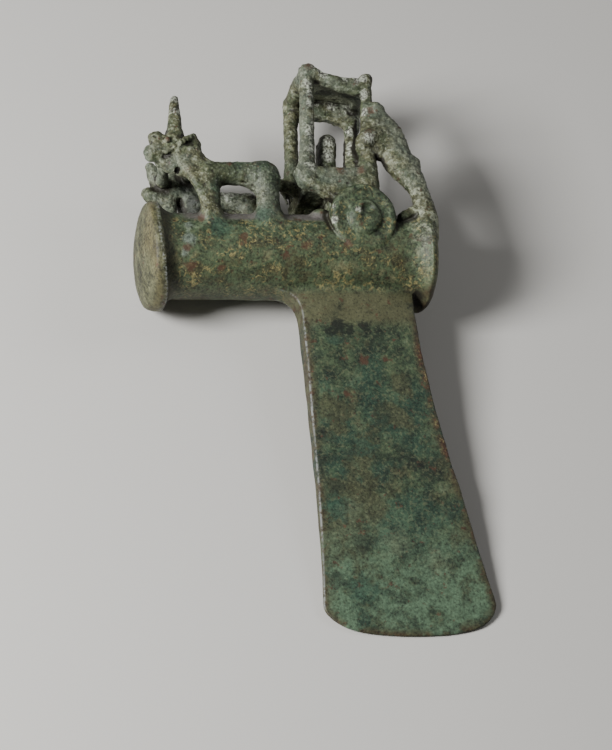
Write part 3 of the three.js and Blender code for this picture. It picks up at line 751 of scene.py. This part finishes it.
def paint(piece, field):
    mesh = piece.data
    points = drawn(points_of(mesh))
    normals = vertex_normals_of(mesh) @ np.array(Matrix.Rotation(ROLL, 3, "X"))
    x, y, z = points.T
    radius = np.hypot(y, z)

    # How closed in each point is, stepping out along the normal up to 3.6 mm; it darkens hollows and
    # recesses below
    hollow = np.zeros(len(points))
    for reach, weight in ((0.7, 0.4), (1.8, 0.8), (3.6, 0.7)):
        hollow += weight * np.clip((reach - field.at(points + normals * reach)) / reach, 0, 1)
    edge = np.clip((field.at(points - normals * 1.1) + 1.1) / 1.1 - 0.25, 0, 1)

    on_blade = smoothstep(-12.5, -16.5, y)
    figures = group_share(points)
    plan, thickness = blade_plan(x, y)
    left = line_at(BLADE_LEFT, y)
    arris_gap = np.hypot(x - left, np.abs(z) - thickness / 2)
    shown = np.clip(z / np.maximum(radius, 1), 0, 1) ** 2
    behind_ridge = x - (CAP_RIDGE_X - CAP_WEAR_SHIFT * shown)
    cap_near = smoothstep(20.5, 19.5, radius)
    cap = smoothstep(0.3, -0.3, behind_ridge) * cap_near
    shares = {
        "hollow": hollow,
        "edge": edge * (1 - on_blade),
        "on_blade": on_blade,
        "blade_root": on_blade * smoothstep(-29, -24, y),
        "blade_low": on_blade * smoothstep(-85, -120, y),
        "rim": on_blade * smoothstep(-3.2, -0.6, plan),
        "right_edge": on_blade * smoothstep(-3.4, -0.4, plan) * smoothstep(20, 30, x)
                      * smoothstep(-84, -70, y) * smoothstep(-30, -36, y),
        # The blade's left arris, where a bright line is painted as a highlight
        "arris": 0.8 * on_blade * smoothstep(0.7, 0.15, arris_gap),
        "figures": figures,
        "tube_back": (1 - on_blade) * (1 - figures) * smoothstep(-6, 6, y),
        "ledge": (1 - figures) * smoothstep(6, 8, y) * smoothstep(-38, -34, x)
                 * smoothstep(16, 14.8, radius),
        "cap": cap,
        "cap_band": cap * np.exp(-((behind_ridge + 2.6) / 1.1) ** 2),
        # The cap's ridge, where a bright line is painted as a highlight
        "ridge": np.exp(-(behind_ridge / 0.3) ** 2) * smoothstep(15, 16.2, radius) * cap_near,
        # The band up to 6.4 mm behind the cap's ridge, where the ridge's shadow is painted
        "flare": smoothstep(-0.2, 0.5, behind_ridge) * smoothstep(6.4, 2.4, behind_ridge) * cap_near,
        # The upper side of the mouth's flange, painted paler as lit
        "mouth": smoothstep(36, 42, x) * (1 - on_blade) * smoothstep(-12, 6, y),
    }
    for name, spots in PATCHES.items():
        shares[name] = np.max([np.clip(1 - np.sqrt((x - px) ** 2 + (y - py) ** 2 + (z - pz) ** 2)
                                       / (1.6 * reach), 0, 1) for px, py, pz, reach in spots], axis=0)
    for name, share in shares.items():
        layer = mesh.attributes.new(name, "FLOAT", "POINT")
        layer.data.foreach_set("value", np.clip(share, 0, 1).astype(np.float32))


# ---- patina, with painted shadow and painted highlights

class Nodes:
    """Short ways to add and join shader nodes."""

    def __init__(self, material):
        material.use_nodes = True
        self.tree = material.node_tree
        self.tree.nodes.clear()
        self.place = self.tree.nodes.new("ShaderNodeTexCoord").outputs["Object"]

    def put(self, socket, value):
        if isinstance(value, bpy.types.NodeSocket):
            self.tree.links.new(value, socket)
        else:
            socket.default_value = value

    def share(self, name):
        node = self.tree.nodes.new("ShaderNodeAttribute")
        node.attribute_name = name
        return node.outputs["Fac"]

    def stretched(self, scale):
        node = self.tree.nodes.new("ShaderNodeMapping")
        self.put(node.inputs["Vector"], self.place)
        node.inputs["Scale"].default_value = scale
        return node.outputs["Vector"]

    def noise(self, size, detail=4.0, roughness=0.6, distortion=0.0, place=None):
        """Fractal noise with lumps about size millimetres across, 0 to 1."""
        node = self.tree.nodes.new("ShaderNodeTexNoise")
        self.put(node.inputs["Vector"], place or self.place)
        node.inputs["Scale"].default_value = 1000 / size
        node.inputs["Detail"].default_value = detail
        node.inputs["Roughness"].default_value = roughness
        node.inputs["Distortion"].default_value = distortion
        return node.outputs["Fac"]

    def between(self, value, low, high):
        """How far value is from low to high, 0 to 1."""
        node = self.tree.nodes.new("ShaderNodeMapRange")
        node.interpolation_type = "SMOOTHSTEP"
        self.put(node.inputs["Value"], value)
        node.inputs["From Min"].default_value = low
        node.inputs["From Max"].default_value = high
        return node.outputs["Result"]

    def math(self, operation, a, b=0.0):
        node = self.tree.nodes.new("ShaderNodeMath")
        node.operation = operation
        self.put(node.inputs[0], a)
        self.put(node.inputs[1], b)
        return node.outputs["Value"]

    def mix(self, share, a, b):
        node = self.tree.nodes.new("ShaderNodeMix")
        node.data_type = "RGBA"
        self.put(node.inputs[0], share)
        self.put(node.inputs[6], a)
        self.put(node.inputs[7], b)
        return node.outputs[2]

    def scaled(self, colour, factor):
        node = self.tree.nodes.new("ShaderNodeVectorMath")
        node.operation = "SCALE"
        self.put(node.inputs[0], colour)
        self.put(node.inputs["Scale"], factor)
        return node.outputs["Vector"]

    def ramp(self, value, stops):
        node = self.tree.nodes.new("ShaderNodeValToRGB")
        self.put(node.inputs["Fac"], value)
        ramp = node.color_ramp
        while len(ramp.elements) < len(stops):
            ramp.elements.new(1.0)
        for element, (position, colour) in zip(ramp.elements, stops):
            element.position = position
            element.color = colour
        return node.outputs["Color"]


def rgb(red, green, blue):
    """A colour seen as these 0 to 255 values, as the shader's linear numbers."""
    return (*[((c / 255 + 0.055) / 1.055) ** 2.4 if c > 10 else c / 255 / 12.92
              for c in (red, green, blue)], 1.0)


BLACK_GREEN = rgb(22, 27, 21)
DEEP_GREEN = rgb(35, 46, 34)
GREEN = rgb(49, 63, 45)
LIGHT_GREEN = rgb(66, 80, 56)
PALE_GREEN = rgb(92, 104, 80)
JADE = rgb(41, 70, 56)
PALE_JADE = rgb(78, 99, 77)
DARK_OLIVE = rgb(44, 44, 29)
OLIVE = rgb(66, 67, 45)
LIGHT_OLIVE = rgb(92, 93, 67)
BROWN = rgb(60, 50, 33)
OCHRE = rgb(127, 119, 78)
RUST = rgb(76, 49, 35)
GREY_GREEN = rgb(104, 114, 104)
GREY_PURPLE = rgb(96, 92, 88)
PALE = rgb(138, 142, 122)
CHALK_AND_HIGHLIGHT = rgb(168, 173, 158)
STRAW = rgb(120, 117, 80)
HIGHLIGHT_GREY = rgb(140, 142, 142)
DARK_BROWN = rgb(34, 32, 22)


def bronze_patina():
    material = bpy.data.materials.new("bronze_patina")
    n = Nodes(material)
    on_blade, figures, rim = n.share("on_blade"), n.share("figures"), n.share("rim")

    broad = n.noise(24, 5, 0.6)
    broad_too = n.noise(17, 5, 0.62, place=n.stretched((1, 0.8, 1.3)))
    patches = n.noise(8, 8, 0.7)
    mottle = n.noise(2.6, 5, 0.72)
    fine = n.noise(1.15, 3, 0.65)
    squiggle = n.noise(2.2, 4, 0.65, 1.6)
    grains = n.noise(0.8, 2, 0.6)
    cloud = n.noise(5, 6, 0.72)

    def ragged(share, low=0.50, high=0.74):
        """A painted share with its border broken up by the mottling."""
        return n.between(n.math("ADD", share, n.math("MULTIPLY", n.math("SUBTRACT", mottle, 0.5), 1.5)),
                         low, high)

    # the blade: mottled greens with a smooth olive zone below the socket
    blade = n.ramp(patches, [(0.33, BLACK_GREEN), (0.43, DEEP_GREEN), (0.51, GREEN),
                             (0.58, LIGHT_GREEN), (0.70, PALE_GREEN)])
    blade = n.mix(n.math("MULTIPLY", n.between(broad, 0.50, 0.60), 0.5), blade, JADE)
    blade = n.mix(n.math("MULTIPLY", n.between(broad_too, 0.51, 0.59), 0.7), blade, OLIVE)
    blade = n.mix(n.math("MULTIPLY", n.between(fine, 0.52, 0.62), 0.4), blade, LIGHT_OLIVE)
    blade = n.mix(n.math("MULTIPLY", n.share("blade_low"), n.between(cloud, 0.30, 0.62)), blade,
                  PALE_JADE)
    blade = n.mix(n.math("MULTIPLY", n.share("blade_root"), n.between(patches, 0.26, 0.46)), blade,
                  n.mix(mottle, OLIVE, LIGHT_OLIVE))
    blade = n.mix(n.math("MULTIPLY", rim, n.between(patches, 0.40, 0.52)), blade,
                  n.mix(n.between(mottle, 0.4, 0.6), BROWN, OLIVE))
    blade = n.mix(n.math("MULTIPLY", n.share("right_edge"), n.between(patches, 0.48, 0.56)), blade,
                  n.mix(n.between(fine, 0.50, 0.66), RUST, OCHRE))

    # the socket: olive below, green above, with ochre squiggles
    tube = n.ramp(patches, [(0.31, DARK_OLIVE), (0.41, OLIVE), (0.52, LIGHT_GREEN), (0.64, LIGHT_OLIVE)])
    tube = n.mix(n.math("MULTIPLY", n.share("tube_back"), 0.75), tube,
                 n.ramp(mottle, [(0.34, DEEP_GREEN), (0.46, GREEN), (0.60, PALE_GREEN)]))
    clusters = n.math("MULTIPLY", n.between(n.noise(7, 4, 0.65), 0.44, 0.58), 0.85)
    tube = n.mix(n.math("MULTIPLY", n.between(squiggle, 0.52, 0.60), clusters), tube, OCHRE)
    # Painted shadow: the cap ridge's shadow as a dark brown-green band on the flare behind it
    tube = n.mix(n.math("MULTIPLY", n.share("flare"), 0.75), tube, n.mix(mottle, BROWN, DEEP_GREEN))
    tube = n.mix(n.math("MULTIPLY", n.share("ledge"), n.between(mottle, 0.26, 0.5)), tube, GREY_PURPLE)

    # the figures: pale crust, green and soil
    figure = n.ramp(mottle, [(0.34, DARK_OLIVE), (0.44, OLIVE), (0.53, LIGHT_OLIVE), (0.65, PALE)])
    figure = n.mix(n.math("MULTIPLY", n.between(patches, 0.48, 0.60), 0.5), figure, LIGHT_GREEN)
    figure = n.mix(n.math("MULTIPLY", n.between(broad, 0.46, 0.56), 0.4), figure, GREY_GREEN)

    colour = n.mix(on_blade, tube, blade)
    colour = n.mix(figures, colour, figure)
    streaks = n.noise(2.2, 5, 0.7, place=n.stretched((1, 0.3, 0.6)))
    cap = n.ramp(streaks, [(0.36, DARK_OLIVE), (0.46, OLIVE), (0.60, LIGHT_OLIVE), (0.76, STRAW)])
    cap = n.mix(n.math("MULTIPLY", n.share("cap_band"), 0.5), cap, n.mix(mottle, BROWN, OCHRE))
    colour = n.mix(n.share("cap"), colour, cap)
    colour = n.mix(n.math("MULTIPLY", ragged(n.share("jade")), 0.6), colour, JADE)
    colour = n.mix(n.math("MULTIPLY", ragged(n.share("slate"), 0.4, 0.8), 0.7), colour, GREY_GREEN)
    colour = n.mix(n.math("MULTIPLY", ragged(n.share("moss"), 0.3, 0.7), 0.7), colour,
                   n.mix(n.between(fine, 0.42, 0.60), DEEP_GREEN, LIGHT_GREEN))
    # Painted light: the upper side of the mouth's flange paler
    colour = n.mix(n.math("MULTIPLY", n.share("mouth"), n.between(mottle, 0.44, 0.66)), colour, PALE)
    # Pale crust, and painted light and painted highlights where these patches stand for light
    colour = n.mix(n.math("MULTIPLY", ragged(n.share("chalk_and_painted_light")), 0.8), colour,
                   n.mix(n.between(grains, 0.38, 0.56), GREY_PURPLE, CHALK_AND_HIGHLIGHT))
    # Paler on convex edges: worn edges, and painted highlight
    colour = n.mix(n.math("MULTIPLY", n.share("edge"), n.between(mottle, 0.32, 0.58)), colour, PALE)
    colour = n.mix(n.math("MULTIPLY", n.between(n.noise(3.0, 4, 0.7), 0.61, 0.68), 0.7), colour, RUST)

    colour = n.mix(n.math("MULTIPLY", ragged(n.share("deep"), 0.4, 0.8), 0.6), colour, DEEP_GREEN)
    colour = n.mix(n.math("MULTIPLY", ragged(n.share("pale"), 0.4, 0.8), 0.45), colour, PALE_GREEN)

    # fine grains, light and dark, softer where the metal is smooth
    smooth = n.math("MAXIMUM", n.math("MULTIPLY", n.share("blade_root"), 0.6), n.share("ledge"))
    smooth = n.math("MAXIMUM", smooth, n.math("MULTIPLY", on_blade, 0.25))
    tone = n.math("ADD", n.math("MULTIPLY", n.between(grains, 0.34, 0.66), 0.6),
                  n.math("MULTIPLY", n.between(fine, 0.36, 0.64), 0.4))
    tone = n.math("ADD", tone, n.math("MULTIPLY", n.between(cloud, 0.38, 0.62), 0.5))
    tone = n.math("MULTIPLY", n.math("SUBTRACT", tone, 0.74), n.math("SUBTRACT", 1.0, smooth))
    tone = n.math("MULTIPLY", tone, n.math("SUBTRACT", 1.0, n.math("MULTIPLY", figures, 0.3)))
    colour = n.scaled(colour, n.math("ADD", 1.0, tone))
    crusted = n.math("MULTIPLY", figures, 0.4)
    colour = n.mix(n.math("MULTIPLY", n.between(grains, 0.61, 0.70), crusted), colour, CHALK_AND_HIGHLIGHT)
    colour = n.mix(n.math("MULTIPLY", n.between(grains, 0.39, 0.33), 0.5), colour, BLACK_GREEN)
    colour = n.mix(n.math("MULTIPLY", ragged(n.share("rust"), 0.60, 0.86), 0.75), colour, RUST)
    colour = n.mix(n.math("MULTIPLY", ragged(n.share("spot"), 0.4, 0.7), 0.8), colour, RUST)
    # A black stain on the blade, and painted shadow in the other patches of this share
    colour = n.mix(n.math("MULTIPLY", ragged(n.share("black_stain_and_painted_shadow")), 0.85), colour, BLACK_GREEN)
    # Painted highlights: a bright grey line along the cap's ridge and along the blade's left arris
    colour = n.mix(n.math("MULTIPLY", n.share("ridge"), n.between(grains, 0.40, 0.64)), colour, HIGHLIGHT_GREY)
    colour = n.mix(n.math("MULTIPLY", n.share("arris"), n.between(mottle, 0.42, 0.56)), colour, HIGHLIGHT_GREY)
    # Darker brown in hollows and recesses, by how closed in each point is
    colour = n.mix(n.between(n.share("hollow"), 0.3, 0.9), colour, DARK_BROWN)

    rough = n.math("ADD", n.math("MULTIPLY", mottle, 0.4), 0.38)

    height = n.math("ADD", n.math("MULTIPLY", mottle, 0.8), n.math("MULTIPLY", grains, 0.9))
    height = n.math("MULTIPLY", height, n.math("ADD", 0.45, n.math("MULTIPLY", figures, 0.45)))
    bump = n.tree.nodes.new("ShaderNodeBump")
    bump.inputs["Strength"].default_value = 0.8
    bump.inputs["Distance"].default_value = 0.5 * MM
    n.put(bump.inputs["Height"], height)

    shader = n.tree.nodes.new("ShaderNodeBsdfPrincipled")
    n.put(shader.inputs["Base Color"], colour)
    n.put(shader.inputs["Roughness"], rough)
    n.put(shader.inputs["Normal"], bump.outputs["Normal"])
    shader.inputs["Metallic"].default_value = 0.1
    output = n.tree.nodes.new("ShaderNodeOutputMaterial")
    n.tree.links.new(shader.outputs["BSDF"], output.inputs["Surface"])
    return material


# ---- the axe head

def axe_head():
    field = casting()
    points, faces = skin(field)
    points = laid(roughened(points, faces))
    points[:, 2] = np.maximum(points[:, 2], box_low.z)
    piece = keep_largest(make_mesh("axe_head_casting", points, faces))
    thin_out(piece, MOST_TRIANGLES)
    paint(piece, field)
    piece.data.shade_smooth()
    piece.data.materials.append(bronze_patina())
    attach(piece, "root")
    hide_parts("axe_head")
    return piece


# ---- floor, light and camera

FLOOR_COLOUR = rgb(205, 203, 198)


def floor():
    bpy.ops.mesh.primitive_plane_add(size=6, location=(0, 0, box_low.z))
    plane = bpy.context.object
    plane.name = "floor"
    material = bpy.data.materials.new("floor")
    material.use_nodes = True
    shader = material.node_tree.nodes["Principled BSDF"]
    shader.inputs["Base Color"].default_value = FLOOR_COLOUR
    shader.inputs["Roughness"].default_value = 0.8
    plane.data.materials.append(material)


def area_light(name, place, size, watts):
    """A square soft light at a place in the drawing frame's millimetres, aimed at the middle."""
    data = bpy.data.lights.new(name, "AREA")
    data.size = size
    data.energy = watts
    light = bpy.data.objects.new(name, data)
    bpy.context.scene.collection.objects.link(light)
    light.location = LYING @ Vector(place)
    aim = (LYING @ Vector((5, -30, 0))) - light.location
    light.rotation_euler = aim.to_track_quat("-Z", "Y").to_euler()


def lights():
    area_light("key", (-680, -90, 500), 0.28, 14.0)
    area_light("rim", (620, 300, 520), 0.4, 1.2)
    world = bpy.data.worlds.new("studio")
    world.use_nodes = True
    world.node_tree.nodes["Background"].inputs["Color"].default_value = (1, 1, 1, 1)
    world.node_tree.nodes["Background"].inputs["Strength"].default_value = 0.09
    bpy.context.scene.world = world


CAMERA_SWING = 16  # degrees round from straight above the shown side, towards the closed end
CAMERA_TIP = 27.5  # degrees down from there, towards the cutting edge
CAMERA_REACH = 1000.0
VIEW_SPAN = 244.2  # the picture's longer side, measured at the socket
AIM_RIGHT = 5.8608  # from the drawing frame's origin to the picture's middle
AIM_DOWN = 38.258


def camera():
    """The camera looks down on the lying axe head, a little from the left and below."""
    swing, tip = math.radians(CAMERA_SWING), math.radians(CAMERA_TIP)
    right = Vector((math.cos(swing), -math.sin(tip) * math.sin(swing),
                    math.cos(tip) * math.sin(swing)))
    up = Vector((0, math.cos(tip), math.sin(tip)))
    back = right.cross(up)
    target = right * AIM_RIGHT - up * AIM_DOWN
    turn = Matrix((right, up, back)).transposed().to_4x4()
    data = bpy.data.cameras.new("camera")
    data.sensor_fit = "AUTO"
    data.sensor_width = 36
    data.lens = data.sensor_width * CAMERA_REACH / VIEW_SPAN
    data.clip_start = 0.01
    data.clip_end = 20
    eye = bpy.data.objects.new("camera", data)
    bpy.context.scene.collection.objects.link(eye)
    placed = LYING @ Matrix.Translation(target + back * CAMERA_REACH) @ turn
    eye.matrix_world = Matrix.LocRotScale(placed.to_translation(), placed.to_quaternion(), None)
    bpy.context.scene.camera = eye


camera()
lights()
floor()
axe_head()
